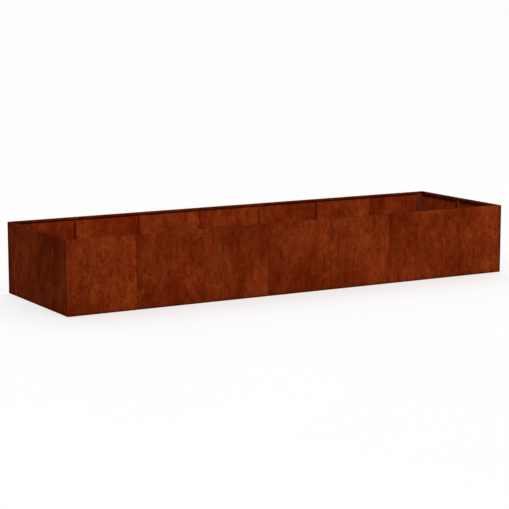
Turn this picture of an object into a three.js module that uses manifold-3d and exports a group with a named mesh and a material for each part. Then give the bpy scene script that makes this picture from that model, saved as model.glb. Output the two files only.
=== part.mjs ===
// Modular planter box of folded weathering steel, 2.8 m long, 0.8 m wide and 0.4 m high.
//
// The wall is a ring of 400 mm modules: straight panels along the two long sides and one L-shaped
// panel round each corner. Every panel is one sheet, folded inwards along its top, its bottom and
// its two upright ends, so the ends of neighbouring panels meet face to face inside the box and are
// bolted there, and nothing shows outside but the seam. The box has no floor.
//
// Millimetres, +Z up, +X along the length, -Y is the front. The origin is the centre of the base.

import * as THREE from "three";
import { RoundedBoxGeometry } from "three/addons/geometries/RoundedBoxGeometry.js";
import { mergeVertices } from "three/addons/utils/BufferGeometryUtils.js";
import Module from "manifold-3d";

const wasm = await Module();
wasm.setup();

// ---- driving dimensions ----

const MODULE = 400; // length of one panel along the wall, and of each leg of a corner panel
const LONG_MODULES = 7; // modules along a long side, the two corner legs included
const END_MODULES = 2; // an end is the legs of its two corner panels
const HEIGHT = 400;
const SHEET = 2; // thickness of the folded sheet
const FLANGE = 25; // depth of every inward fold, from the outer face
const LIP = 10; // the top fold turns down again by this much, its own thickness included
const BEND = 3; // outer radius of a fold
const BEND_STEPS = 1; // steps of a fold on each of the two faces that meet in it

const SEAM_GAP = 0.4; // between two panels at a seam
const FIT_GAP = 0.2; // between a bolted or welded piece and the sheet it lies on
const FOLD_SLIT = 0.6; // cut that parts an upright fold from the top and bottom folds
const LIP_SEAM_CLEARANCE = 3; // the lip stops this far from a seam, just clear of the upright fold
const LIP_CORNER_CLEARANCE = 50; // and this far from a corner, where the two top folds are mitred

const ANGLE_LEG = 50; // stiffening angle in each corner
const ANGLE_TOP_CLEARANCE = 36; // from the rim down to the angle's top end

const TIE_SEAMS = [2, 5]; // the long-side seams that a cross tie joins, counted from the left
const TIE_WIDTH = 30;
const TIE_THICKNESS = 3;
const TIE_END_CLEARANCE = 2; // between a tie's end and the wall

// Hexagon bolt and nut M8 with plain washers
const BOLT_DIAMETER = 8;
const BOLT_HOLE_DIAMETER = 9;
const HEX_ACROSS_FLATS = 13;
const HEAD_HEIGHT = 5.3;
const NUT_HEIGHT = 6.5;
const WASHER_DIAMETER = 16;
const WASHER_THICKNESS = 1.6;
const THREAD_BEYOND_NUT = 3;
const SEAM_BOLT_REACH = 110; // from the base up to the lower bolts, and from the rim down to the upper ones
const ROUND_SIDES = 8;

// ---- derived places ----

const LENGTH = LONG_MODULES * MODULE;
const WIDTH = END_MODULES * MODULE;
const STRAIGHT_PANELS = LONG_MODULES - 2; // on each long side
const LONG_SEAMS = LONG_MODULES - 1; // on each long side
const BOLT_INSET = (SHEET + FLANGE) / 2; // bolt line, from the outer face, mid-way across the fold
const SEAM_BOLT_HEIGHTS = new Map([["lower", SEAM_BOLT_REACH], ["upper", HEIGHT - SEAM_BOLT_REACH]]);
const TIE_HEIGHT = HEIGHT / 2;
const THROUGH = 10; // how far a cutting tool runs past the sheet
const QUARTER_TURN = Math.PI / 2;

const seamX = (seam) => -LENGTH / 2 + seam * MODULE;

// ---- solids ----

// A three.js geometry as a manifold-3d solid, with its shared vertices merged.
function solid(geometry) {
  const bare = geometry.clone();
  bare.deleteAttribute("normal");
  bare.deleteAttribute("uv");
  const merged = mergeVertices(bare, 1e-4);
  return new wasm.Manifold(
    new wasm.Mesh({
      numProp: 3,
      vertProperties: new Float32Array(merged.attributes.position.array),
      triVerts: new Uint32Array(merged.index.array),
    }),
  );
}

// A manifold-3d solid as a flat-shaded three.js geometry.
function geometryOf(shape) {
  const mesh = shape.getMesh();
  const indexed = new THREE.BufferGeometry();
  indexed.setAttribute("position", new THREE.BufferAttribute(mesh.vertProperties, 3));
  indexed.setIndex(new THREE.BufferAttribute(mesh.triVerts, 1));
  const flat = indexed.toNonIndexed();
  flat.computeVertexNormals();
  return flat;
}

function placedBetween(geometry, low, high) {
  const centre = low.map((value, axis) => (value + high[axis]) / 2);
  return solid(geometry.translate(...centre));
}

const sizeBetween = (low, high) => low.map((value, axis) => high[axis] - value);

const block = (low, high) => placedBetween(new THREE.BoxGeometry(...sizeBetween(low, high)), low, high);

function roundedBlock(low, high, radius) {
  const shape = new RoundedBoxGeometry(...sizeBetween(low, high), BEND_STEPS, radius);
  return placedBetween(shape, low, high);
}

// A cylinder or prism along +X from x to x + length, its axis at the given y and z.
function rodAlongX(x, length, diameter, sides = ROUND_SIDES, y = 0, z = 0) {
  const rod = new THREE.CylinderGeometry(diameter / 2, diameter / 2, length, sides);
  rod.rotateZ(-QUARTER_TURN);
  return solid(rod.translate(x + length / 2, y, z));
}

function rodAlongY(y, length, diameter, x, z) {
  const rod = new THREE.CylinderGeometry(diameter / 2, diameter / 2, length, ROUND_SIDES);
  return solid(rod.translate(x, y + length / 2, z));
}

const subtractAll = (shape, tools) => tools.reduce((left, tool) => left.subtract(tool), shape);

// ---- panels: the outer faces lie on y = 0 and, for a corner, on x = 0 as well ----

// A rounded block of sheet steel, hollowed from behind, before anything deeper than the folds goes.
function hollowTray(low, high) {
  const hollowLow = low.map((value) => value + SHEET);
  const hollowHigh = high.map((value) => value - SHEET);
  return roundedBlock(low, high, BEND).subtract(roundedBlock(hollowLow, hollowHigh, BEND - SHEET));
}

// A wall runs along "x" or "y". These two give a block and a bolt hole in that wall from places
// measured along the wall, inwards from its outer face, and up.
const swapped = ([along, inwards, up]) => [inwards, along, up];

function wallBlock(wall, low, high) {
  return wall === "x" ? block(low, high) : block(swapped(low), swapped(high));
}

function boltHole(wall, along, up) {
  const start = along - THROUGH;
  return wall === "x"
    ? rodAlongX(start, 2 * THROUGH, BOLT_HOLE_DIAMETER, ROUND_SIDES, BOLT_INSET, up)
    : rodAlongY(start, 2 * THROUGH, BOLT_HOLE_DIAMETER, BOLT_INSET, up);
}

// Slit that parts the upright fold at a panel's end from the fold above or below it.
function foldSlit(wall, along, up) {
  const low = [along - THROUGH, BEND, up];
  const high = [along + THROUGH, FLANGE + THROUGH, up + FOLD_SLIT];
  return wallBlock(wall, low, high);
}

// Everything cut from the upright fold at a panel's end.
function endCuts(wall, along, boltHeights) {
  return [
    foldSlit(wall, along, SHEET),
    foldSlit(wall, along, HEIGHT - SHEET - FOLD_SLIT),
    ...boltHeights.map((up) => boltHole(wall, along, up)),
  ];
}

// The lip hangs from the inner edge of the top fold, between two places along the wall.
function lip(wall, from, to) {
  return wallBlock(wall, [from, FLANGE - SHEET, HEIGHT - LIP], [to, FLANGE, HEIGHT - SHEET / 2]);
}

// One straight panel, centred on x = 0. tieEnds holds -1, 1 or both for the ends that take a tie.
function straightPanel(tieEnds) {
  const reach = (MODULE - SEAM_GAP) / 2;
  const lipReach = MODULE / 2 - LIP_SEAM_CLEARANCE;
  const folds = hollowTray([-reach, 0, 0], [reach, 2 * FLANGE, HEIGHT])
    .subtract(block([-MODULE, FLANGE, -THROUGH], [MODULE, 3 * FLANGE, HEIGHT + THROUGH]))
    .add(lip("x", -lipReach, lipReach));
  const cuts = [-1, 1].flatMap((end) => {
    const heights = [...SEAM_BOLT_HEIGHTS.values()];
    if (tieEnds.includes(end)) heights.push(TIE_HEIGHT);
    return endCuts("x", end * reach, heights);
  });
  return subtractAll(folds, cuts);
}

// One corner panel: its legs run along +x and +y from the corner at the origin.
function cornerPanel() {
  const reach = MODULE - SEAM_GAP / 2;
  const lipEnd = MODULE - LIP_SEAM_CLEARANCE;
  const folds = hollowTray([0, 0, 0], [reach, reach, HEIGHT])
    .subtract(block([FLANGE, FLANGE, -THROUGH], [MODULE, MODULE, HEIGHT + THROUGH]))
    .add(lip("x", LIP_CORNER_CLEARANCE, lipEnd))
    .add(lip("y", LIP_CORNER_CLEARANCE, lipEnd));
  const cuts = ["x", "y"].flatMap((wall) => endCuts(wall, reach, [...SEAM_BOLT_HEIGHTS.values()]));
  return subtractAll(folds, cuts);
}

// ---- inner pieces ----

// Stiffening angle that lies against the inside of a corner panel, its corner near the origin.
function cornerAngle() {
  const inner = SHEET + FIT_GAP;
  const bottom = BEND + FIT_GAP; // clear of the bottom fold's rounding
  const top = HEIGHT - ANGLE_TOP_CLEARANCE;
  const outline = new THREE.Shape();
  outline.moveTo(inner + BEND, inner);
  outline.lineTo(inner + ANGLE_LEG, inner);
  outline.lineTo(inner + ANGLE_LEG, inner + SHEET);
  outline.lineTo(inner + BEND, inner + SHEET);
  outline.absarc(inner + BEND, inner + BEND, BEND - SHEET, -QUARTER_TURN, -2 * QUARTER_TURN, true);
  outline.lineTo(inner + SHEET, inner + ANGLE_LEG);
  outline.lineTo(inner, inner + ANGLE_LEG);
  outline.lineTo(inner, inner + BEND);
  outline.absarc(inner + BEND, inner + BEND, BEND, -2 * QUARTER_TURN, -QUARTER_TURN, false);
  const settings = { depth: top - bottom, bevelEnabled: false, curveSegments: BEND_STEPS + 1 };
  return solid(new THREE.ExtrudeGeometry(outline, settings).translate(0, 0, bottom));
}

// Flat tie across the box, centred on the origin, its thickness running along +x from x = 0.
function crossTie() {
  const reach = WIDTH / 2 - SHEET - TIE_END_CLEARANCE;
  const strap = block([0, -reach, -TIE_WIDTH / 2], [TIE_THICKNESS, reach, TIE_WIDTH / 2]);
  const holes = [-1, 1].map((side) =>
    rodAlongX(-THROUGH, 3 * THROUGH, BOLT_HOLE_DIAMETER, ROUND_SIDES, side * (WIDTH / 2 - BOLT_INSET)),
  );
  return subtractAll(strap, holes);
}

// Bolt, two washers and nut along +X as they are once tightened. The clamped pieces lie between
// x = 0 and x = grip, and the head is on the low side.
function boltSet(grip) {
  const cornerDiameter = HEX_ACROSS_FLATS / Math.cos(Math.PI / 6);
  const nutStart = grip + WASHER_THICKNESS;
  const end = nutStart + NUT_HEIGHT + THREAD_BEYOND_NUT;
  return rodAlongX(-WASHER_THICKNESS, end + WASHER_THICKNESS, BOLT_DIAMETER)
    .add(rodAlongX(-WASHER_THICKNESS - HEAD_HEIGHT, HEAD_HEIGHT, cornerDiameter, 6))
    .add(rodAlongX(-WASHER_THICKNESS, WASHER_THICKNESS, WASHER_DIAMETER))
    .add(rodAlongX(grip, WASHER_THICKNESS, WASHER_DIAMETER))
    .add(rodAlongX(nutStart, NUT_HEIGHT, cornerDiameter, 6));
}

// ---- materials ----

const FINISHES = {
  panel: { color: 0x6a2309, roughness: 0.85, metalness: 0.1 },
  angle: { color: 0x4f1b0a, roughness: 0.88, metalness: 0.1 },
  tie: { color: 0x5c220c, roughness: 0.86, metalness: 0.1 },
  bolt: { color: 0x4a2014, roughness: 0.7, metalness: 0.35 },
};

// ---- assembly ----

const planter = new THREE.Group();

function place(name, geometry, finish, position, turn = 0) {
  const mesh = new THREE.Mesh(geometry, new THREE.MeshStandardMaterial(FINISHES[finish]));
  mesh.name = name;
  mesh.position.set(...position);
  mesh.rotation.z = turn;
  planter.add(mesh);
}

// The straight panels run from left to right on both long sides. A back panel is a front panel
// turned half round, so its ends change sides.
const LONG_SIDES = [
  { side: "front", y: -WIDTH / 2, turn: 0, facing: 1 },
  { side: "back", y: WIDTH / 2, turn: 2 * QUARTER_TURN, facing: -1 },
];

for (const { side, y, turn, facing } of LONG_SIDES) {
  for (let index = 1; index <= STRAIGHT_PANELS; index += 1) {
    const tieEnds = [];
    if (TIE_SEAMS.includes(index)) tieEnds.push(-facing);
    if (TIE_SEAMS.includes(index + 1)) tieEnds.push(facing);
    const x = seamX(index) + MODULE / 2;
    place(`${side}_panel_${index}`, geometryOf(straightPanel(tieEnds)), "panel", [x, y, 0], turn);
  }
}

const CORNERS = ["front_left", "front_right", "back_right", "back_left"];
const cornerPanelGeometry = geometryOf(cornerPanel());
const cornerAngleGeometry = geometryOf(cornerAngle());

CORNERS.forEach((corner, quarter) => {
  const x = corner.endsWith("left") ? -LENGTH / 2 : LENGTH / 2;
  const y = corner.startsWith("front") ? -WIDTH / 2 : WIDTH / 2;
  const turn = quarter * QUARTER_TURN;
  place(`corner_panel_${corner}`, cornerPanelGeometry, "panel", [x, y, 0], turn);
  place(`corner_angle_${corner}`, cornerAngleGeometry, "angle", [x, y, 0], turn);
});

const stackStart = SHEET + SEAM_GAP / 2 + FIT_GAP; // from a seam to the face a washer bears on
const seamGrip = 2 * stackStart;
const tieGrip = seamGrip + TIE_THICKNESS + FIT_GAP;
const seamBoltGeometry = geometryOf(boltSet(seamGrip));
const tieBoltGeometry = geometryOf(boltSet(tieGrip));
const crossTieGeometry = geometryOf(crossTie());

for (const { side, y, facing } of LONG_SIDES) {
  const boltY = y + facing * BOLT_INSET;
  for (let seam = 1; seam <= LONG_SEAMS; seam += 1) {
    const x = seamX(seam) - stackStart;
    for (const [level, z] of SEAM_BOLT_HEIGHTS) {
      place(`seam_bolt_${side}_${seam}_${level}`, seamBoltGeometry, "bolt", [x, boltY, z]);
    }
    if (TIE_SEAMS.includes(seam)) {
      place(`tie_bolt_${side}_${seam}`, tieBoltGeometry, "bolt", [x, boltY, TIE_HEIGHT]);
    }
  }
}

for (const [side, direction] of [["left", -1], ["right", 1]]) {
  const x = direction * (LENGTH / 2 - BOLT_INSET);
  for (const [level, z] of SEAM_BOLT_HEIGHTS) {
    const position = [x, -stackStart, z];
    place(`seam_bolt_${side}_end_${level}`, seamBoltGeometry, "bolt", position, QUARTER_TURN);
  }
}

TIE_SEAMS.forEach((seam, index) => {
  const position = [seamX(seam) + stackStart, 0, TIE_HEIGHT];
  place(`cross_tie_${index + 1}`, crossTieGeometry, "tie", position);
});

export default planter;
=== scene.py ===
"""Modular planter box of folded weathering steel: the looks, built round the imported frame.

Every panel is rebuilt as one folded sheet with rounded folds, reliefs and drilled holes, and every
bolt as a chamfered hexagon bolt with thread, washers and nut. Metres, +Z up, -Y is the front.
"""

import math
import random
from collections import namedtuple

import bmesh
import bpy
from mathutils import Matrix, Vector, noise


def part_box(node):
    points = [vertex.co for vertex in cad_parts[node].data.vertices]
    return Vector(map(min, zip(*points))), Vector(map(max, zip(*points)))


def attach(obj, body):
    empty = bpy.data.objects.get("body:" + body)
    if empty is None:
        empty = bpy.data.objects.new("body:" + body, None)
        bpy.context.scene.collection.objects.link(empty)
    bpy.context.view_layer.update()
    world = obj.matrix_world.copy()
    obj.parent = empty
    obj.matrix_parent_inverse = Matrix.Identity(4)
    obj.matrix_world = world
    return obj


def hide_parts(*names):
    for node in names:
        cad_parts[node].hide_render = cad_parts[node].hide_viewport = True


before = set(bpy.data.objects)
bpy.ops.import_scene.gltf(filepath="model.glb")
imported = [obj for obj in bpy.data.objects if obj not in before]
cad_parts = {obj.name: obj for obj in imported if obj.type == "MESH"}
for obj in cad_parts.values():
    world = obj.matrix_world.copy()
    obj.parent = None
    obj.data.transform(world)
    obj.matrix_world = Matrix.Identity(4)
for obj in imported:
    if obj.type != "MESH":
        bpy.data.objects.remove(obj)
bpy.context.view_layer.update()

# ---- dimensions ----

MM = 0.001
SHEET = 2 * MM
BEND = 3 * MM  # outer radius of a fold
BEND_STEPS = 6
ROUNDING = 1e-6  # places closer together than this are the same
LIP = 10 * MM
LIP_SEAM_CLEARANCE = 3 * MM
LIP_CORNER_CLEARANCE = 50 * MM
RELIEF = 0.7 * MM  # where two folds meet, the sheet is cut back by this much
SEAM_GAP = 0.01 * MM  # between two sheets, which the bolts pull together
EAR_GAP = 0.3 * MM  # the top and bottom folds stop this far from the seam
MITRE_REACH = 40 * MM  # the mesh straightens out again this far from a mitred corner
GRADED = (1.5 * MM, 4 * MM, 9 * MM, 18 * MM)  # mesh lines beside a fold
FACE_STEP = 26 * MM  # mesh lines on the rest of a face
LEG_STEPS = 4  # mesh steps across an upright fold, and along a leg of a corner angle
ANGLE_ROWS = 12
SHARP_ANGLE = math.radians(40)  # a sharper edge than this is a cut edge, and it isn't smoothed
BULGE = 0.9 * MM  # how far the middle of a face may lie inwards of true
BULGE_WAVES = 6  # waves in the hollow of a face, for each metre

HIGHLIGHT_AND_WEAR_CORNER = "front_left"  # its bend is painted lighter, a painted highlight along with rubbed wear, and the other bends get painted shade
HIGHLIGHT_AND_WEAR_REACH = 2 * MM  # over each reach, the lightening or darkening falls to about a third
FOOT_DARKENING_REACH = 8 * MM
SEAM_SOIL_REACH = 3 * MM
CORNER_SHADE_REACH = 10 * MM
# How dark each place is painted, where 1 is full and more than that widens a darkened band: painted
# shade at the rim, lip and corner bends, dark joints at the seams, and darker at the foot.
# Painted shade along the rim and its lip, more on the back rim than on the front one.
RIM_SHADE = {"front": 0.15, "back": 0.6}
LIP_SHADE = 0.85
SEAM_SOIL = 0.22
# Painted shade on the bends of the three corners that turn away from the light.
CORNER_SHADE = 1.35
# The corner panels' flaps are painted darker.
CORNER_FLAP_DARKENING = 0.6

BOLT_DIAMETER = 8 * MM
HOLE_DIAMETER = 9 * MM
DRILL_LENGTH = 50 * MM
THREAD_PITCH = 1.25 * MM
THREAD_DEPTH = 0.65 * MM
HEX_ACROSS_FLATS = 13 * MM
HEAD_HEIGHT = 5.3 * MM
HEAD_STEP = 0.3 * MM  # the round boss under the head
NECK_FILLET = 0.4 * MM
NUT_HEIGHT = 6.5 * MM
NUT_BORE_CLEARANCE = 0.1 * MM
NUT_COUNTERSINK = 0.5 * MM
WASHER_DIAMETER = 16 * MM
WASHER_THICKNESS = 1.6 * MM
WASHER_BORE_CLEARANCE = 0.25 * MM
WASHER_ROUNDING = 0.3 * MM
THREAD_BEYOND_NUT = 3 * MM
THREAD_INSIDE_NUT = 1 * MM  # the part of the thread inside the nut that is modelled
THREAD_TIP_TAPER = 0.7  # how much smaller the tip's radius is, as a share of the pitch
THREAD_STEPS = 8  # rings of vertices for each turn of the thread
CHAMFER_RIM = 0.95  # a chamfered face's radius, as a share of half the width across flats
CHAMFER_ANGLE = math.radians(30)
ROUND_SIDES = 48

WELD_PLACES = (0.12, 0.5, 0.88)  # up the corner angle
WELD_LENGTH = 22 * MM
WELD_WIDTH = 3.6 * MM
WELD_REACH = 0.6 * MM  # a bead's middle lies this far in from the face of the angle at the wall
WELD_RIPPLE = 3 * MM
WELD_RIPPLE_DEPTH = 0.12  # as a share of the bead's width
TIE_CORNER = 6 * MM
TIE_ROLLED_EDGE = 0.6 * MM
# Shares of the bar's thickness, and of its rolled edge that the outline is drawn in by there.
TIE_EDGE_PROFILE = ((0, 1), (0.15, 0.3), (0.4, 0), (0.6, 0), (0.85, 0.3), (1, 1))
TIE_BOLT_SLACK = 6 * MM  # a bolt this close to a tie's box goes through the tie

SEED = 243
TONE_SPREAD = 0.08
TONE_DRIFT = 0.06  # how much paler a panel grows towards its right side
# Painted light: the back panels are painted paler and the front ones darker, to even out how the inside
# and outside are lit.
SIDE_PAINTED_LIGHT = {"front": -0.03, "back": 0.05}
PATTERN_START = 260
PATTERN_STEP = (3.17, 1.73, 2.39)  # how far apart two panels' patterns lie

# ---- view and light ----

CAMERA_PLACE = (-4.8993, -8.3713, 1.7055)
CAMERA_YAW = math.radians(-30.044)
CAMERA_PITCH = math.radians(-9.051)
CAMERA_LENS = 121.104
KEY_AZIMUTH = math.radians(-25)  # azimuths turn from straight in front towards the right
KEY_ELEVATION = math.radians(24)
KEY_SOFTNESS = math.radians(8)
KEY_STRENGTH = 3.42
FILL_AZIMUTH = math.radians(150)
FILL_ELEVATION = math.radians(38)
FILL_SOFTNESS = math.radians(60)
FILL_STRENGTH = 1.88
STUDIO_COLOUR = (1.0, 1.0, 1.0)
STUDIO_STRENGTH = 0.27
SENSOR_WIDTH = 36
NEAREST_SEEN = 0.1
FLOOR_REACH = 400
FLOOR_DROP = 0.5 * MM  # keeps the floor clear of the folds that stand on it

RIGHT_ANGLE = math.pi / 2

STRAIGHT = [name for name in sorted(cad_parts) if name.startswith(("front_panel", "back_panel"))]
CORNERS = ["front_left", "front_right", "back_right", "back_left"]
BOLTS = [name for name in sorted(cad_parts) if "_bolt_" in name]
TIES = [name for name in sorted(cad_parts) if name.startswith("cross_tie")]

panel_low, panel_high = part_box("front_panel_1")
FLANGE = panel_high.y - panel_low.y
HEIGHT = panel_high.z - panel_low.z
MODULE = abs(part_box("front_panel_2")[0].x - panel_low.x)  # from one seam to the next
PANEL_WIDTH = MODULE - SEAM_GAP


# ---- small helpers ----

def spread(start, end, steps):
    """Evenly spaced values, both ends included."""
    return [start + (end - start) * step / steps for step in range(steps + 1)]


def face_places(start, end, extra=()):
    """Mesh lines across a face: close together beside the folds at both ends, even between them."""
    near = [start, *(start + step for step in GRADED)]
    far = [*(end - step for step in reversed(GRADED)), end]
    steps = max(1, round((far[0] - near[-1]) / FACE_STEP))
    middle = spread(near[-1], far[0], steps)[1:-1]
    return sorted({round(place, 7) for place in [*near, *middle, *far, *extra]})


def smooth(mesh):
    """Smooth shading that keeps the cut edges sharp."""
    mesh.polygons.foreach_set("use_smooth", [True] * len(mesh.polygons))
    mesh.set_sharp_from_angle(angle=SHARP_ANGLE)


def new_object(name, mesh):
    piece = bpy.data.objects.new(name, mesh)
    bpy.context.scene.collection.objects.link(piece)
    return piece


def mesh_of(bm, name):
    bmesh.ops.recalc_face_normals(bm, faces=bm.faces)
    mesh = bpy.data.meshes.new(name)
    bm.to_mesh(mesh)
    bm.free()
    return mesh


def drilled(piece, holes):
    """Cuts round holes: each is (centre, axis), and the piece's mesh is replaced by the cut one."""
    bm = bmesh.new()
    for centre, axis in holes:
        turn = Vector((0, 0, 1)).rotation_difference(Vector(axis)).to_matrix().to_4x4()
        bmesh.ops.create_cone(
            bm, cap_ends=True, segments=ROUND_SIDES // 2, radius1=HOLE_DIAMETER / 2,
            radius2=HOLE_DIAMETER / 2, depth=DRILL_LENGTH, matrix=Matrix.Translation(centre) @ turn,
        )
    cutter = new_object("hole_cutter", mesh_of(bm, "hole_cutter"))
    cut = piece.modifiers.new("holes", "BOOLEAN")
    cut.operation, cut.solver, cut.object = "DIFFERENCE", "EXACT", cutter
    graph = bpy.context.evaluated_depsgraph_get()
    result = bpy.data.meshes.new_from_object(piece.evaluated_get(graph), depsgraph=graph)
    piece.modifiers.clear()
    piece.data = result
    bpy.data.objects.remove(cutter)


# ---- folded sheets ----
# A sheet is a net of columns, which follow the wall in plan, and rows, which climb it. The outer
# surface is made from the net, and the inner one lies one thickness behind it.

# band names what lies between this column or row and the next. deep gives a column's place on the
# top and bottom folds from the distance inwards.
Column = namedtuple("Column", "band point normal deep to_seam to_corner")
Row = namedtuple("Row", "band inward up out lift")


def straight_in(start, normal):
    """Places on the top and bottom folds, straight in from the start."""
    return lambda inward: start - normal * inward


def wall_column(point, normal, corner, away, to_seam):
    """A column on a wall. Where the wall ends in a mitred corner, the column leans to the mitre."""
    if corner is None:
        return Column("wall", point, normal, straight_in(point, normal), to_seam, math.inf)
    from_corner = (point - corner).dot(away)

    def deep(inward):
        if from_corner >= MITRE_REACH:
            return point - normal * inward
        share = (from_corner - BEND) / (MITRE_REACH - BEND)
        along = inward + share * (MITRE_REACH - inward)
        return corner + away * along - normal * inward

    return Column("wall", point, normal, deep, to_seam, from_corner)


def arc_points(corner, normal_in, normal_out):
    """Round a fold at an outer corner, both ends included: points, normals and shares of the way."""
    centre = corner - (normal_in + normal_out) * BEND
    for step in range(BEND_STEPS + 1):
        angle = RIGHT_ANGLE * step / BEND_STEPS
        normal = normal_in * math.cos(angle) + normal_out * math.sin(angle)
        yield centre + normal * BEND, normal, step / BEND_STEPS


def wall_columns(outline):
    """Columns along an outline of outer corners. Its first and last stretches are upright folds."""
    outline = [Vector(point) for point in outline]
    stretches = list(zip(outline, outline[1:]))
    last = len(stretches) - 1
    columns = []
    for index, (start, end) in enumerate(stretches):
        length = (end - start).length
        along = (end - start) / length
        normal = Vector((along.y, -along.x))
        if index in (0, last):
            low, high = (0, length - BEND) if index == 0 else (BEND, length)
            points = [start + along * place for place in spread(low, high, LEG_STEPS)]
            fresh = [Column("flap", point, normal, None, 0, math.inf) for point in points]
        else:
            fresh = wall_run(start, end, seam_at_start=index == 1, seam_at_end=index == last - 1)
        if columns:
            columns = joined_by_fold(columns, fresh, start, index, last)
        else:
            columns = fresh
    return columns


def wall_run(start, end, seam_at_start, seam_at_end):
    """The columns of one wall. Each of its ends is at a seam or at a mitred corner."""
    length = (end - start).length
    along = (end - start) / length
    normal = Vector((along.y, -along.x))
    lip_start = LIP_SEAM_CLEARANCE if seam_at_start else LIP_CORNER_CLEARANCE
    lip_end = length - (LIP_SEAM_CLEARANCE if seam_at_end else LIP_CORNER_CLEARANCE)
    columns = []
    for place in face_places(BEND, length - BEND, (lip_start, lip_end)):
        corner, away = None, None
        if not seam_at_start and place < length / 2:
            corner, away = start, along
        elif not seam_at_end and place >= length / 2:
            corner, away = end, -along
        to_seam = min(place if seam_at_start else math.inf,
                      length - place if seam_at_end else math.inf)
        columns.append(wall_column(start + along * place, normal, corner, away, to_seam))
    return columns


def joined_by_fold(before, after, corner, index, last):
    """The two runs of columns with the fold between them. The run's end columns are the arc's ends."""
    normal_in, normal_out = before[-1].normal, after[0].normal
    between_walls = index not in (1, last)
    band = "corner" if between_walls else "side_fold"
    fold = []
    for point, normal, share in arc_points(corner, normal_in, normal_out):
        if between_walls:
            deep = straight_in(corner, normal_in + normal_out)
        elif index == 1:  # an ear of the top or bottom fold reaches out past the upright fold
            ear_reach = (1 - share) * (BEND - EAR_GAP)
            deep = straight_in(after[0].point + normal_in * ear_reach, normal_out)
        else:
            ear_reach = share * (BEND - EAR_GAP)
            deep = straight_in(before[-1].point + normal_out * ear_reach, normal_in)
        fold.append(Column(band, point, normal, deep, 0, 0 if between_walls else math.inf))
    if index == 1:  # flap, fold, wall
        return [*before[:-1], *fold[:-1], *after]
    if index == last:  # wall, fold, flap
        wall_end = before[-1]._replace(band=band)
        flap_start = fold[-1]._replace(band="flap")
        return [*before[:-1], wall_end, *fold[1:-1], flap_start, *after[1:]]
    return [*before[:-1], before[-1]._replace(band=band), *fold[1:-1], *after]


def folded_rows():
    """Rows from the bottom fold's free edge up the face, over the top fold and down the lip."""
    top = HEIGHT - BEND
    rows = [Row("bottom_flange", inward, 0, 0, -1) for inward in (FLANGE, FLANGE / 2, BEND + RELIEF)]
    rows += fold_rows("bottom_fold", BEND, -RIGHT_ANGLE, 0)
    rows += face_rows(BEND, top)
    rows += fold_rows("top_fold", top, 0, RIGHT_ANGLE)
    rows += [Row("top_flange", inward, HEIGHT, 0, 1) for inward in (BEND, BEND + RELIEF, FLANGE / 2)]
    for step in range(BEND_STEPS):
        angle = RIGHT_ANGLE * (1 + step / BEND_STEPS)
        out, lift = math.cos(angle), math.sin(angle)
        rows.append(Row("lip_fold", FLANGE - BEND - BEND * out, top + BEND * lift, out, lift))
    rows.append(Row("lip", FLANGE, top, -1, 0))
    rows.append(Row("lip", FLANGE, (top + HEIGHT - LIP) / 2, -1, 0))
    rows.append(Row("end", FLANGE, HEIGHT - LIP, -1, 0))
    return rows


def fold_rows(band, centre, start, end):
    """Rows round a fold, without its last one, which the next stretch begins with."""
    rows = []
    for step in range(BEND_STEPS):
        angle = start + (end - start) * step / BEND_STEPS
        out, lift = math.cos(angle), math.sin(angle)
        rows.append(Row(band, BEND * (1 - out), centre + BEND * lift, out, lift))
    return rows


def face_rows(low, high):
    places = face_places(low, high, (low + RELIEF, high - RELIEF))
    return [Row("face", 0, place, 1, 0) for place in places[:-1]]


def cell_kept(row, next_row, column, next_column):
    """Whether the sheet has metal between these rows and columns."""
    if column.band in ("flap", "side_fold"):
        fold_end = BEND + RELIEF - ROUNDING
        if row.band == "face":
            low, high = min(row.up, next_row.up), max(row.up, next_row.up)
            return low >= fold_end and high <= HEIGHT - fold_end
        is_ear = column.band == "side_fold" and row.band in ("bottom_flange", "top_flange")
        return is_ear and min(row.inward, next_row.inward) >= fold_end
    if row.band in ("lip_fold", "lip"):
        if column.band == "corner":
            return False
        seam_gap = min(column.to_seam, next_column.to_seam) + ROUNDING
        corner_gap = min(column.to_corner, next_column.to_corner) + ROUNDING
        return seam_gap >= LIP_SEAM_CLEARANCE and corner_gap >= LIP_CORNER_CLEARANCE
    return True


def net_point(column, row, hollow):
    """A place on the outer surface and its normal, both in the sheet's own frame."""
    on_flange = row.inward > BEND + ROUNDING
    plan = column.deep(row.inward) if on_flange else column.point - column.normal * row.inward
    if row.band == "face" and column.band == "wall":
        plan = plan - column.normal * hollow(column, row)
    place = Vector((plan.x, plan.y, row.up))
    normal = Vector((column.normal.x * row.out, column.normal.y * row.out, row.lift))
    return place, normal


def bend_highlight_and_wear(column, row):
    """How much lighter the outer surface is painted, a painted highlight along with rubbed wear: most on
    the upright bend at the corner.
    """
    return math.exp(-max(0, column.to_corner - BEND) / HIGHLIGHT_AND_WEAR_REACH)


def shade_and_dirt_on(side, flap_darkening=0, corner_bend_shade=0):
    """How dark each place is painted: painted shade on the lip, the rim and, where given, the corner's
    bend, dark joints at the seams, and darker at the foot and, where given, on the flaps."""
    def shade_and_dirt_at(column, row):
        if column.band == "flap":
            # the flap's top gets the lip's painted shade
            return LIP_SHADE if row.up > HEIGHT - LIP else flap_darkening
        # painted shade on the lip
        if row.band in ("lip_fold", "lip", "end"):
            return LIP_SHADE
        # painted shade on the rim
        if row.band == "top_flange":
            return RIM_SHADE[side]
        if "bottom" in row.band:
            return 1
        if column.band == "side_fold":
            return SEAM_SOIL
        at_foot = math.exp(-max(0, row.up - BEND) / FOOT_DARKENING_REACH)
        at_seam = SEAM_SOIL * math.exp(-column.to_seam / SEAM_SOIL_REACH)
        # painted shade on the corner's bend
        at_corner = corner_bend_shade * math.exp(-max(0, column.to_corner - BEND) / CORNER_SHADE_REACH)
        return max(at_foot, at_seam, at_corner)
    return shade_and_dirt_at


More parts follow.
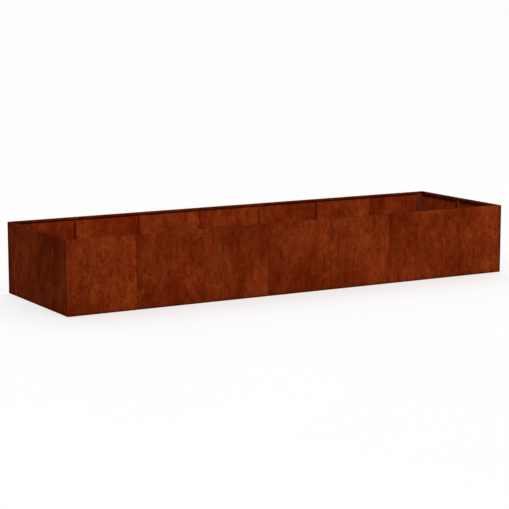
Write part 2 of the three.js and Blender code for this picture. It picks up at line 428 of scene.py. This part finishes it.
def sheet_mesh(name, columns, rows, kept, hollow, marks):
    """The closed mesh of a sheet from its net. Each mark is a function of column and row, and it
    becomes an attribute of the outer surface, and of both surfaces of an upright flap."""
    bm = bmesh.new()
    layers = {bm.verts.layers.float.new(mark): amount for mark, amount in marks.items()}
    pairs = {}

    def pair(column, row):
        place, normal = net_point(column, row, hollow)
        key = tuple(round(value / ROUNDING) for value in (*place, *normal))
        if key not in pairs:
            pairs[key] = (bm.verts.new(place), bm.verts.new(place - normal * SHEET))
            marked = pairs[key] if column.band == "flap" else pairs[key][:1]
            for layer, amount in layers.items():
                for vert in marked:
                    vert[layer] = amount(column, row)
        return pairs[key]

    rim = {}  # the edges of only one cell, which become the sheet's cut edges
    for row, next_row in zip(rows, rows[1:]):
        for column, next_column in zip(columns, columns[1:]):
            if not kept(row, next_row, column, next_column):
                continue
            corners = [pair(column, row), pair(next_column, row),
                       pair(next_column, next_row), pair(column, next_row)]
            corners = [here for before, here in zip([corners[-1], *corners], corners)
                       if here is not before]
            if len(corners) < 3:
                continue
            bm.faces.new([outer for outer, _ in corners])
            bm.faces.new([inner for _, inner in reversed(corners)])
            for previous, corner in zip([corners[-1], *corners], corners):
                if (corner, previous) in rim:
                    del rim[corner, previous]
                else:
                    rim[previous, corner] = True
    for first, second in rim:
        bm.faces.new([second[0], first[0], first[1], second[1]])
    bmesh.ops.remove_doubles(bm, verts=bm.verts, dist=ROUNDING)
    return mesh_of(bm, name)


def hollow_face(seed):
    """How far each place on a face lies inwards of true: the sheet is never quite flat."""
    def hollow(column, row):
        along = min(column.to_seam, column.to_corner, PANEL_WIDTH / 2) / (PANEL_WIDTH / 2)
        up = min(row.up, HEIGHT - row.up) / (HEIGHT / 2)
        edge = math.sin(min(1, max(0, along)) * RIGHT_ANGLE) * math.sin(min(1, up) * RIGHT_ANGLE)
        place = Vector((column.point.x, column.point.y, row.up)) * BULGE_WAVES
        wave = noise.noise(place + Vector((0, seed, 0)))
        return BULGE * edge * (1 + wave) / 2
    return hollow


def straight_outline():
    """A straight panel in plan: a wall between two upright folds."""
    half = PANEL_WIDTH / 2
    return [(-half, FLANGE), (-half, 0), (half, 0), (half, FLANGE)]


def corner_outline(leg):
    """A corner panel in plan: two walls between two upright folds, with the corner at the origin."""
    return [(FLANGE, leg), (0, leg), (0, 0), (leg, 0), (leg, FLANGE)]


def wall_frame(corner_or_side):
    """Turns the sheet's own frame into the planter's, before the sheet is moved into place."""
    turns = {"front": 0, "back": 2, "front_left": 0, "front_right": 1, "back_right": 2, "back_left": 3}
    return Matrix.Rotation(turns[corner_or_side] * RIGHT_ANGLE, 4, "Z")


def bolts_near(low, high, slack=0.0):
    """Centres and axes of the bolts that go through a piece, from the frame's bolt boxes."""
    found = []
    for name in BOLTS:
        bolt_low, bolt_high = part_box(name)
        overlaps = all(bolt_low[a] < high[a] + slack and bolt_high[a] > low[a] - slack for a in range(3))
        if overlaps:
            size = bolt_high - bolt_low
            axis = (1, 0, 0) if size.x > size.y else (0, 1, 0)
            found.append(((bolt_low + bolt_high) / 2, axis))
    return found


def finish_sheet(name, mesh, place, node_low, node_high):
    """Moves a sheet into place and drills it for its bolts."""
    mesh.transform(place)
    piece = new_object(name, mesh)
    drilled(piece, bolts_near(node_low, node_high))
    return piece


def make_straight_panel(node, seed):
    low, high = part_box(node)
    side = node.split("_")[0]
    outer = low.y if side == "front" else high.y
    place = Matrix.Translation(((low.x + high.x) / 2, outer, low.z)) @ wall_frame(side)
    columns = wall_columns(straight_outline())
    marks = {"shade_and_dirt": shade_and_dirt_on(side)}
    mesh = sheet_mesh(node, columns, folded_rows(), cell_kept, hollow_face(seed), marks)
    return finish_sheet(f"sheet_{node}", mesh, place, low, high)


def corner_place(corner, low, high, lift=0):
    x = low.x if corner.endswith("left") else high.x
    y = low.y if corner.startswith("front") else high.y
    return Matrix.Translation((x, y, lift)) @ wall_frame(corner)


def make_corner_panel(corner, seed):
    node = f"corner_panel_{corner}"
    low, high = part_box(node)
    columns = wall_columns(corner_outline(MODULE - SEAM_GAP / 2))
    side = corner.split("_")[0]
    # The corner facing the key light gets a painted highlight with wear on its bend, and the others get
    # painted shade.
    if corner == HIGHLIGHT_AND_WEAR_CORNER:
        marks = {"highlight_and_wear": bend_highlight_and_wear, "shade_and_dirt": shade_and_dirt_on(side, CORNER_FLAP_DARKENING)}
    else:
        marks = {"shade_and_dirt": shade_and_dirt_on(side, CORNER_FLAP_DARKENING, CORNER_SHADE)}
    mesh = sheet_mesh(node, columns, folded_rows(), cell_kept, hollow_face(seed), marks)
    return finish_sheet(f"sheet_{node}", mesh, corner_place(corner, low, high), low, high)


# ---- corner angles and cross ties ----

def make_corner_angle(corner):
    """The angle that stiffens a corner: a bent strip, with short welds to the walls along its edges."""
    node = f"corner_angle_{corner}"
    low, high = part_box(node)
    leg, height = high.x - low.x, high.z - low.z
    columns = angle_columns(leg)
    rows = [Row("angle", 0, place, 1, 0) for place in spread(0, height, ANGLE_ROWS)]
    mesh = sheet_mesh(node, columns, rows, kept=lambda *cell: True, hollow=None, marks={})
    bm = bmesh.new()
    bm.from_mesh(mesh)
    for share in WELD_PLACES:
        for x, y in ((WELD_REACH, leg), (leg, WELD_REACH)):
            add_weld(bm, Vector((x, y, height * share)))
    mesh = mesh_of(bm, node)
    mesh.transform(corner_place(corner, low, high, low.z))
    return new_object(f"angle_{corner}", mesh)


def angle_columns(leg):
    """Down one leg of the angle, round its bend at the origin and along the other leg."""
    facing_x, facing_y = Vector((-1, 0)), Vector((0, -1))
    plan = [(Vector((0, y)), facing_x) for y in spread(leg, BEND, LEG_STEPS)[:-1]]
    plan += [(point, normal) for point, normal, _ in arc_points(Vector((0, 0)), facing_x, facing_y)]
    plan += [(Vector((x, 0)), facing_y) for x in spread(BEND, leg, LEG_STEPS)[1:]]
    return [Column("wall", point, normal, None, math.inf, math.inf) for point, normal in plan]


def add_weld(bm, centre):
    """A short bead of weld, lying upright."""
    size = Matrix.Diagonal((WELD_WIDTH / 2, WELD_WIDTH / 2, WELD_LENGTH / 2, 1))
    bead = bmesh.ops.create_uvsphere(bm, u_segments=10, v_segments=16, radius=1,
                                     matrix=Matrix.Translation(centre) @ size)
    for vert in bead["verts"]:
        ripple = 1 + WELD_RIPPLE_DEPTH * math.sin((vert.co.z - centre.z) / WELD_RIPPLE * math.tau)
        vert.co.x = centre.x + (vert.co.x - centre.x) * ripple
        vert.co.y = centre.y + (vert.co.y - centre.y) * ripple


def make_cross_tie(node):
    """A flat bar across the planter, with rolled edges and rounded corners, drilled at both ends."""
    low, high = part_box(node)
    centre = (low + high) / 2
    half_length, half_width, thickness = (high.y - low.y) / 2, (high.z - low.z) / 2, high.x - low.x
    bm = bmesh.new()
    loops = []
    for depth, shrink in TIE_EDGE_PROFILE:
        inset = TIE_ROLLED_EDGE * shrink
        outline = rounded_outline(half_length - inset, half_width - inset, TIE_CORNER)
        x = low.x + thickness * depth
        loops.append([bm.verts.new((x, centre.y + y, centre.z + z)) for y, z in outline])
    for lower, upper in zip(loops, loops[1:]):
        stitch(bm, lower, upper)
    bm.faces.new(loops[0])
    bm.faces.new(list(reversed(loops[-1])))
    piece = new_object(f"bar_{node}", mesh_of(bm, node))
    drilled(piece, bolts_near(low, high, TIE_BOLT_SLACK))
    return piece


def rounded_outline(half_length, half_width, radius):
    """A rectangle with round corners, as places across and up."""
    points = []
    for quarter, (side_y, side_z) in enumerate(((1, 1), (-1, 1), (-1, -1), (1, -1))):
        for step in range(BEND_STEPS + 1):
            angle = RIGHT_ANGLE * (quarter + step / BEND_STEPS)
            points.append((side_y * (half_length - radius) + radius * math.cos(angle),
                           side_z * (half_width - radius) + radius * math.sin(angle)))
    return points


def stitch(bm, lower, upper):
    """A closed band of faces between two rings of vertices."""
    for index in range(len(lower)):
        bm.faces.new([lower[index - 1], lower[index], upper[index], upper[index - 1]])


# ---- bolts ----
# A bolt set is made along +Z from the face that its first washer lies on, and then turned.

def ring(bm, height, radius):
    """A ring of vertices. Height and radius are numbers, or functions of the angle."""
    verts = []
    for side in range(ROUND_SIDES):
        angle = math.tau * side / ROUND_SIDES
        reach = radius(angle) if callable(radius) else radius
        level = height(angle) if callable(height) else height
        verts.append(bm.verts.new((reach * math.cos(angle), reach * math.sin(angle), level)))
    return verts


def revolve(bm, profile, closed):
    """Rings joined in order. A closed profile ends where it began, and an open one gets end caps."""
    rings = [ring(bm, height, radius) for height, radius in profile]
    for lower, upper in zip(rings, rings[1:]):
        stitch(bm, lower, upper)
    if closed:
        stitch(bm, rings[-1], rings[0])
        return
    bm.faces.new(list(reversed(rings[0])))
    bm.faces.new(rings[-1])


def hexagon(angle):
    """The radius of a hexagon at this angle, from the middle of the nearest flat."""
    turned = (angle + math.pi / 6) % (math.pi / 3) - math.pi / 6
    return HEX_ACROSS_FLATS / 2 / math.cos(turned)


def chamfered(face, direction):
    """The edge of a hexagon's flank, where the turned chamfer cuts its corners back."""
    rim = HEX_ACROSS_FLATS / 2 * CHAMFER_RIM
    return lambda angle: face - direction * max(0, hexagon(angle) - rim) * math.tan(CHAMFER_ANGLE)


def bolt_set_mesh(name, grip):
    """Bolt, two washers and nut. The grip is the thickness of what they hold."""
    bm = bmesh.new()
    radius, rim = BOLT_DIAMETER / 2, HEX_ACROSS_FLATS / 2 * CHAMFER_RIM
    head_face = -WASHER_THICKNESS
    head_top = head_face - HEAD_HEIGHT
    nut_face = grip + WASHER_THICKNESS
    nut_top = nut_face + NUT_HEIGHT
    tip = nut_top + THREAD_BEYOND_NUT
    head_underside = head_face - HEAD_STEP
    profile = [(head_top, rim / 2), (head_top, rim), (chamfered(head_top, -1), hexagon),
               (head_underside, hexagon), (head_underside, rim), (head_face, rim),
               (head_face, radius + NECK_FILLET), (head_face + NECK_FILLET, radius)]
    thread_start = nut_top - THREAD_INSIDE_NUT
    steps = math.ceil((tip - thread_start) / THREAD_PITCH * THREAD_STEPS)
    for height in spread(thread_start, tip, steps):
        profile.append((height, thread_radius(height, tip)))
    revolve(bm, profile, closed=False)
    for face in (head_face, grip):
        revolve(bm, washer_profile(face), closed=True)
    bore = radius + NUT_BORE_CLEARANCE
    mouth = bore + NUT_COUNTERSINK
    revolve(bm, [(nut_face, mouth), (nut_face, rim), (chamfered(nut_face, -1), hexagon),
                 (chamfered(nut_top, 1), hexagon), (nut_top, rim), (nut_top, mouth),
                 (nut_top - NUT_COUNTERSINK, bore), (nut_face + NUT_COUNTERSINK, bore)], closed=True)
    return mesh_of(bm, name)


def thread_radius(height, tip):
    """The radius of a screw thread at this height, as a function of the angle."""
    tip_radius = BOLT_DIAMETER / 2 - THREAD_PITCH * THREAD_TIP_TAPER
    crest = min(BOLT_DIAMETER / 2, tip_radius + (tip - height))

    def radius(angle):
        turn = (height / THREAD_PITCH - angle / math.tau) % 1
        return min(crest, BOLT_DIAMETER / 2 - THREAD_DEPTH * abs(2 * turn - 1))
    return radius


def washer_profile(face):
    """A washer that lies on this height, with rounded outer edges."""
    outer, inner = WASHER_DIAMETER / 2, BOLT_DIAMETER / 2 + WASHER_BORE_CLEARANCE
    top = face + WASHER_THICKNESS
    return [(face, inner), (face, outer - WASHER_ROUNDING), (face + WASHER_ROUNDING, outer),
            (top - WASHER_ROUNDING, outer), (top, outer - WASHER_ROUNDING), (top, inner)]


def make_bolt_set(node, chance):
    """Turned to lie along the longest side of the frame's bolt box, at a random angle round its axis."""
    low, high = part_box(node)
    size = high - low
    along_x = size.x > size.y
    length = size.x if along_x else size.y
    grip = length - HEAD_HEIGHT - 2 * WASHER_THICKNESS - NUT_HEIGHT - THREAD_BEYOND_NUT
    mesh = bolt_set_mesh(node, grip)
    spin = Matrix.Rotation(chance.uniform(0, math.tau), 4, "Z")
    lay = Matrix.Rotation(RIGHT_ANGLE, 4, "Y") if along_x else Matrix.Rotation(-RIGHT_ANGLE, 4, "X")
    start = (low + high) / 2
    start[0 if along_x else 1] = (low.x if along_x else low.y) + HEAD_HEIGHT + WASHER_THICKNESS
    mesh.transform(Matrix.Translation(start) @ lay @ spin)
    return new_object(f"fastener_{node}", mesh)


# ---- materials ----

MIX_FACTOR, MIX_FIRST, MIX_SECOND, MIX_RESULT = 0, 6, 7, 2  # a Mix node's sockets for colours


class Shader:
    """Short names for the shader nodes of one material."""

    def __init__(self, name, specular_level, specular_tint):
        self.material = bpy.data.materials.new(name)
        self.material.use_nodes = True
        self.tree = self.material.node_tree
        self.surface = self.tree.nodes["Principled BSDF"]
        self.set(self.surface, {"Specular IOR Level": specular_level,
                                "Specular Tint": (*specular_tint, 1), "Metallic": 0})
        self.place = self.node("ShaderNodeTexCoord").outputs["Object"]
        axes = self.node("ShaderNodeSeparateXYZ", {0: self.place}).outputs
        self.breadth, self.height = axes["X"], axes["Z"]

    def node(self, kind, inputs=(), **settings):
        made_node = self.tree.nodes.new(kind)
        for key, value in settings.items():
            setattr(made_node, key, value)
        self.set(made_node, dict(inputs))
        return made_node

    def set(self, node, inputs):
        for key, value in inputs.items():
            if isinstance(value, bpy.types.NodeSocket):
                self.tree.links.new(value, node.inputs[key])
            else:
                node.inputs[key].default_value = value

    def attribute(self, name):
        return self.node("ShaderNodeAttribute", attribute_name=name).outputs["Fac"]

    def maths(self, operation, first, second=0.0, addend=0.0):
        inputs = {0: first, 1: second, 2: addend}
        return self.node("ShaderNodeMath", inputs, operation=operation).outputs[0]

    def moved(self, vector, offset=(0, 0, 0), scale=(1, 1, 1)):
        return self.node("ShaderNodeMapping", {"Vector": vector, "Location": offset,
                                               "Scale": scale}).outputs[0]

    def noise(self, vector, size, stretch=1.0, detail=3, roughness=0.55, distortion=0.0):
        """Noise whose features are this wide, and longer up the wall by the stretch."""
        squeezed = self.moved(vector, scale=(1 / size, 1 / size, 1 / size / stretch))
        return self.node("ShaderNodeTexNoise", {
            "Vector": squeezed, "Scale": 1, "Detail": detail, "Roughness": roughness,
            "Distortion": distortion}).outputs["Fac"]

    def layer(self, vector, layer):
        """The noise that a Layer describes."""
        if layer.start:
            vector = self.moved(vector, offset=layer.start)
        return self.noise(vector, layer.width, layer.stretch, layer.octaves, layer.roughness,
                          layer.distortion)

    def band(self, value, low, high, to_low=0.0, to_high=1.0):
        """A smooth step: to_low up to low, and to_high from high."""
        return self.node("ShaderNodeMapRange", {
            "Value": value, "From Min": low, "From Max": high, "To Min": to_low, "To Max": to_high},
            interpolation_type="SMOOTHSTEP").outputs[0]

    def spread(self, value, low, high):
        """An even rise from 0 at low to 1 at high."""
        inputs = {"Value": value, "From Min": low, "From Max": high}
        return self.node("ShaderNodeMapRange", inputs).outputs[0]

    def weighted(self, *layers):
        """The sum of the layers, each times its weight."""
        total = None
        for layer, weight in layers:
            part = self.maths("MULTIPLY", layer, weight)
            total = part if total is None else self.maths("ADD", total, part)
        return total

    def mix(self, factor, first, second, blend="MIX"):
        """A colour between two colours, each a socket or three numbers."""
        first, second = (colour if isinstance(colour, bpy.types.NodeSocket) else (*colour, 1)
                         for colour in (first, second))
        inputs = {MIX_FACTOR: factor, MIX_FIRST: first, MIX_SECOND: second}
        made_node = self.node("ShaderNodeMix", data_type="RGBA", blend_type=blend)
        self.set(made_node, inputs)
        return made_node.outputs[MIX_RESULT]

    def brighter(self, colour, factor):
        """The colour times a grey factor."""
        grey = self.node("ShaderNodeCombineColor", {0: factor, 1: factor, 2: factor}).outputs[0]
        return self.mix(1.0, colour, grey, "MULTIPLY")

    def finish(self, colour, roughness, height, relief):
        bump = self.node("ShaderNodeBump", {"Height": height, "Strength": 1.0, "Distance": relief})
        self.set(self.surface, {"Base Color": colour, "Roughness": roughness,
                                "Normal": bump.outputs["Normal"]})
        return self.material


# Colours of rust on the sheets. The two tints multiply the colour under them.
RUST_DARK = (0.082, 0.0064, 0.0004)
RUST_LIGHT = (0.170, 0.0228, 0.0040)
TINT_DARK = (0.56, 0.34, 0.18)
TINT_LIGHT = (1.44, 1.74, 2.10)
RUST_RED = (0.138, 0.0088, 0.0005)
RUST_BROWN = (0.114, 0.0205, 0.0036)
RUST_ORANGE = (0.235, 0.048, 0.0050)
RUST_STAIN = (0.048, 0.0042, 0.0006)
# Lighter colour for the painted highlight and wear on a bend.
RUST_HIGHLIGHT_AND_WEAR = (0.190, 0.034, 0.0065)
# Dark colour for the painted shade and the dirt.
RUST_SHADE_AND_DIRT = (0.046, 0.0034, 0.0003)

# Layers of noise: how wide their features are, how many times longer they are up the wall, and how
# far a layer is moved, so that it doesn't follow the others.
Layer = namedtuple("Layer", "width stretch octaves roughness distortion start", defaults=(0.0, None))
DRIFTS = Layer(0.30, 1.2, 1, 0.55, start=(1.3, 7.1, 3.9))
CLOUDS = Layer(0.11, 1.6, 3, 0.6, distortion=0.4)
MOTTLE = Layer(0.034, 1.7, 4, 0.64, distortion=0.35)
RUNS = Layer(0.011, 4.5, 3, 0.6)
LONG_RUNS = Layer(0.034, 14, 2, 0.5)
GRAIN = Layer(0.0075, 1.5, 3, 0.62)
SPECKS = Layer(0.0018, 1, 2, 0.6)
HUES = Layer(0.032, 2.0, 4, 0.65, start=(4.1, 2.3, 7.7))
BLOOMS = Layer(0.085, 2.4, 5, 0.65, start=(9.4, 6.2, 1.9))
STAINS = Layer(0.05, 3.0, 5, 0.7, start=(2.7, 8.8, 5.3))
FLECKS = Layer(0.015, 1.7, 2, 0.6, start=(6.6, 1.2, 3.1))

HUE_STRENGTH = 0.30
BLOOM_STRENGTH = 0.55
STAIN_STRENGTH = 0.6
PIT_STRENGTH = 0.5
PITS_PER_METRE = 46
PIT_SQUEEZE = (1, 1, 0.6)  # pits are a little longer up the wall
DARKENING_HEIGHTS = (0.16, 0.02)  # the darkening sets in below the first height and is full at the second
DARKENING_BREADTHS = (0.1, -0.3)  # and so it does towards the planter's left half
DARKENING_STRENGTH = 0.05
STEEL_RELIEF = 0.6 * MM


def weathering_steel():
    """A sheet's patina: broad clouds, upright run marks, blooms of young orange rust, stains, flecks,
    fine grain and pits. Painted highlight with wear, and painted shade with dirt, show on top of it.
    The patch and tone attributes give every panel its own pattern and tone, the tone with painted light."""
    s = Shader("weathering_steel", specular_level=0.03, specular_tint=(1.0, 0.42, 0.25))
    patch = s.attribute("patch")
    steps = {axis: s.maths("MULTIPLY", patch, step) for axis, step in enumerate(PATTERN_STEP)}
    shift = s.node("ShaderNodeCombineXYZ", steps).outputs[0]
    place = s.node("ShaderNodeVectorMath", {0: s.place, 1: shift}, operation="ADD").outputs[0]
    mottle = s.layer(place, MOTTLE)
    grain = s.layer(place, GRAIN)
    specks = s.layer(place, SPECKS)
    pit = steel_pits(s, place)

    colour = steel_ground(s, place, mottle, grain)
    colour = steel_marks(s, place, mottle, colour)
    colour = s.mix(s.maths("MULTIPLY", pit, PIT_STRENGTH), colour, RUST_STAIN)
    # Painted highlight, along with wear, on the bend of the corner that faces the light.
    highlight_and_wear = s.maths("MULTIPLY", s.attribute("highlight_and_wear"), s.band(mottle, 0.25, 0.6, 0.15, 0.35))
    colour = s.mix(highlight_and_wear, colour, RUST_HIGHLIGHT_AND_WEAR)
    # Painted shade at the rim, lip and corner bends, dark seams, and a darker foot.
    shade_and_dirt = s.maths("MULTIPLY", s.attribute("shade_and_dirt"), s.band(mottle, 0.3, 0.7, 0.9, 0.65))
    colour = s.mix(shade_and_dirt, colour, RUST_SHADE_AND_DIRT)
    # the tone carries the panel's own tone and its side's painted light
    brightness = s.maths("ADD", s.band(specks, 0.3, 0.7, 0.90, 1.10), s.attribute("tone_and_light"))
    colour = s.brighter(colour, brightness)

    roughness = s.band(s.weighted((grain, 0.5), (specks, 0.5)), 0.35, 0.65, 0.78, 0.95)
    height = s.weighted((grain, 0.55), (specks, 0.3), (mottle, 0.6), (pit, -0.5))
    return s.finish(colour, roughness, height, STEEL_RELIEF)


def steel_ground(s, place, mottle, grain):
    """Broad drifts and clouds between dark and light rust, tinted by the finer layers."""
    broad = s.weighted((s.layer(place, DRIFTS), 0.6), (s.layer(place, CLOUDS), 0.4))
    # darker towards the bottom of the planter's left half
    low_left_darkening = s.maths("MULTIPLY", s.band(s.height, *DARKENING_HEIGHTS),
                   s.band(s.breadth, *DARKENING_BREADTHS, 0.0, DARKENING_STRENGTH))
    broad = s.maths("SUBTRACT", broad, low_left_darkening)
    colour = s.mix(s.band(broad, 0.36, 0.62), RUST_DARK, RUST_LIGHT)

    fine = s.weighted((mottle, 0.37), (s.layer(place, RUNS), 0.20), (s.layer(place, LONG_RUNS), 0.10),
                      (grain, 0.33))
    tint = s.mix(s.spread(fine, 0.40, 0.60), TINT_DARK, TINT_LIGHT)
    colour = s.mix(1.0, colour, tint, "MULTIPLY")
    hue = s.mix(s.band(s.layer(place, HUES), 0.40, 0.60), RUST_RED, RUST_BROWN)
    return s.mix(HUE_STRENGTH, colour, hue)


def steel_marks(s, place, mottle, colour):
    """Orange blooms, dark stains, and light and dark flecks over the ground colour."""
    bloom = s.maths("MULTIPLY", s.band(s.layer(place, BLOOMS), 0.56, 0.74), s.band(mottle, 0.38, 0.62))
    colour = s.mix(s.maths("MULTIPLY", bloom, BLOOM_STRENGTH), colour, RUST_ORANGE)
    stain = s.band(s.layer(place, STAINS), 0.57, 0.76)
    colour = s.mix(s.maths("MULTIPLY", stain, STAIN_STRENGTH), colour, RUST_STAIN)
    flecks = s.layer(place, FLECKS)
    colour = s.mix(s.band(flecks, 0.56, 0.72, 0.0, 0.45), colour, RUST_LIGHT)
    return s.mix(s.band(flecks, 0.44, 0.28, 0.0, 0.50), colour, RUST_DARK)


def steel_pits(s, place):
    """Round pits at the middles of some of the cells."""
    cells = s.node("ShaderNodeTexVoronoi", {
        "Vector": s.moved(place, scale=PIT_SQUEEZE), "Scale": PITS_PER_METRE, "Randomness": 1.0})
    cell_pick = s.node("ShaderNodeSeparateColor", {0: cells.outputs["Color"]}).outputs[0]
    return s.maths("MULTIPLY", s.band(cells.outputs["Distance"], 0.08, 0.24, 1, 0),
                   s.band(cell_pick, 0.62, 0.75))


def plain_rust(name, colours, size, relief, roughness=(0.72, 0.92), painted_light_on_ends=0.0):
    """Rust on the small pieces, finer than on the sheets: mottled, speckled and bumpy. The colours
    are dark, light and orange. Faces that look along the planter can be painted paler: painted light."""
    dark, light, orange = colours
    s = Shader(name, specular_level=0.06, specular_tint=(1.0, 0.45, 0.3))
    mottle = s.layer(s.place, Layer(size, 1.5, 5, 0.65, distortion=0.3))
    grain = s.layer(s.place, Layer(size / 6, 1.2, 3, 0.6))
    blooms = s.layer(s.place, Layer(size * 1.6, 1.6, 5, 0.7, start=(3.3, 5.1, 0.7)))
    colour = s.mix(s.band(mottle, 0.33, 0.67), dark, light)
    colour = s.mix(s.maths("MULTIPLY", s.band(blooms, 0.52, 0.72), 0.7), colour, orange)
    colour = s.brighter(colour, s.band(grain, 0.3, 0.7, 0.82, 1.18))
    # painted light: faces that look along the planter are painted paler
    if painted_light_on_ends:
        normal = s.node("ShaderNodeNewGeometry").outputs["True Normal"]
        along = s.maths("ABSOLUTE", s.node("ShaderNodeSeparateXYZ", {0: normal}).outputs["X"])
        colour = s.brighter(colour, s.maths("MULTIPLY_ADD", along, painted_light_on_ends, addend=1.0))
    height = s.weighted((mottle, 0.6), (grain, 0.4))
    return s.finish(colour, s.band(grain, 0.3, 0.7, *roughness), height, relief)


def corner_angle_rust():
    colours = (0.040, 0.0055, 0.0016), (0.085, 0.0125, 0.0032), (0.130, 0.024, 0.0045)
    # its legs on the end walls are painted paler: painted light
    return plain_rust("corner_angle", colours, 30 * MM, 0.5 * MM, painted_light_on_ends=0.7)


def tie_bar_rust():
    colours = (0.055, 0.0070, 0.0018), (0.110, 0.0175, 0.0040), (0.170, 0.034, 0.0060)
    return plain_rust("tie_bar", colours, 20 * MM, 0.4 * MM)


def fastener_rust():
    colours = (0.043, 0.0068, 0.0022), (0.094, 0.0155, 0.0045), (0.155, 0.029, 0.0060)
    return plain_rust("rusted_fastener", colours, 6 * MM, 0.15 * MM, roughness=(0.55, 0.85))


def floor_paint():
    """Pale paint with hardly visible clouds."""
    s = Shader("floor_paint", specular_level=0.05, specular_tint=(1, 1, 1))
    cloud = s.noise(s.place, 1.8, 1, detail=3)
    colour = s.mix(cloud, (0.92, 0.92, 0.92), (0.94, 0.94, 0.94))
    return s.finish(colour, s.band(cloud, 0.3, 0.7, 0.88, 0.94), cloud, 0.1 * MM)


# ---- making and placing ----

def settle(piece, node, material):
    """Gives a piece its material and its place in the frame, instead of the CAD node."""
    piece.data.materials.clear()
    piece.data.materials.append(material)
    piece.data.polygons.foreach_set("material_index", [0] * len(piece.data.polygons))
    smooth(piece.data)
    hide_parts(node)
    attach(piece, "root")


def give_pattern(piece, number, side, chance):
    """Every vertex carries its panel's pattern number, and a tone that drifts across the panel, with its
    side's painted light added.
    """
    tone_and_light = SIDE_PAINTED_LIGHT[side] + chance.uniform(-TONE_SPREAD, TONE_SPREAD)
    across = [vertex.co.x for vertex in piece.data.vertices]
    low, high = min(across), max(across)
    tones = [tone_and_light + TONE_DRIFT * (2 * (place - low) / (high - low) - 1) for place in across]
    for name, values in (("patch", [PATTERN_START + number] * len(across)), ("tone_and_light", tones)):
        layer = piece.data.attributes.new(name, "FLOAT", "POINT")
        layer.data.foreach_set("value", values)


chance = random.Random(SEED)
steel, angle_rust, tie_rust, bolt_rust = (
    weathering_steel(), corner_angle_rust(), tie_bar_rust(), fastener_rust())
for number, node in enumerate(STRAIGHT):
    panel = make_straight_panel(node, number)
    give_pattern(panel, number, node.split("_")[0], chance)
    settle(panel, node, steel)
for number, corner in enumerate(CORNERS):
    panel = make_corner_panel(corner, number + len(STRAIGHT))
    give_pattern(panel, number + len(STRAIGHT), corner.split("_")[0], chance)
    settle(panel, f"corner_panel_{corner}", steel)
    settle(make_corner_angle(corner), f"corner_angle_{corner}", angle_rust)
for node in TIES:
    settle(make_cross_tie(node), node, tie_rust)
for node in BOLTS:
    settle(make_bolt_set(node, chance), node, bolt_rust)


# ---- floor, light and camera ----

def make_floor():
    bm = bmesh.new()
    bmesh.ops.create_grid(bm, x_segments=8, y_segments=8, size=FLOOR_REACH)
    piece = new_object("floor", mesh_of(bm, "floor"))
    piece.location.z = -FLOOR_DROP
    piece.visible_diffuse = piece.visible_glossy = False  # it throws no light back up at the walls
    piece.data.materials.append(floor_paint())


def make_light(name, strength, softness, elevation, azimuth, shadow=True):
    lamp = bpy.data.lights.new(name, "SUN")
    lamp.energy, lamp.angle, lamp.use_shadow = strength, softness, shadow
    light = bpy.data.objects.new(name, lamp)
    light.visible_glossy = shadow
    light.rotation_euler = (RIGHT_ANGLE - elevation, 0, azimuth)
    bpy.context.scene.collection.objects.link(light)


def make_lights():
    """A soft key from the front, a shadowless fill from behind, and an even studio all round."""
    make_light("key_light", KEY_STRENGTH, KEY_SOFTNESS, KEY_ELEVATION, KEY_AZIMUTH)
    make_light("fill_light", FILL_STRENGTH, FILL_SOFTNESS, FILL_ELEVATION, FILL_AZIMUTH, shadow=False)
    world = bpy.data.worlds.new("studio")
    bpy.context.scene.world = world
    world.use_nodes = True
    world.node_tree.nodes["Background"].inputs["Color"].default_value = (*STUDIO_COLOUR, 1)
    world.node_tree.nodes["Background"].inputs["Strength"].default_value = STUDIO_STRENGTH
    world.cycles_visibility.glossy = False


def make_camera():
    lens = bpy.data.cameras.new("camera")
    lens.lens, lens.sensor_width = CAMERA_LENS, SENSOR_WIDTH
    lens.clip_start, lens.clip_end = NEAREST_SEEN, 2 * FLOOR_REACH
    camera = bpy.data.objects.new("camera", lens)
    bpy.context.scene.collection.objects.link(camera)
    camera.location = CAMERA_PLACE
    camera.rotation_euler = (RIGHT_ANGLE + CAMERA_PITCH, 0, CAMERA_YAW)
    bpy.context.scene.camera = camera


make_floor()
make_lights()
make_camera()
bpy.context.scene.view_settings.view_transform = "Standard"
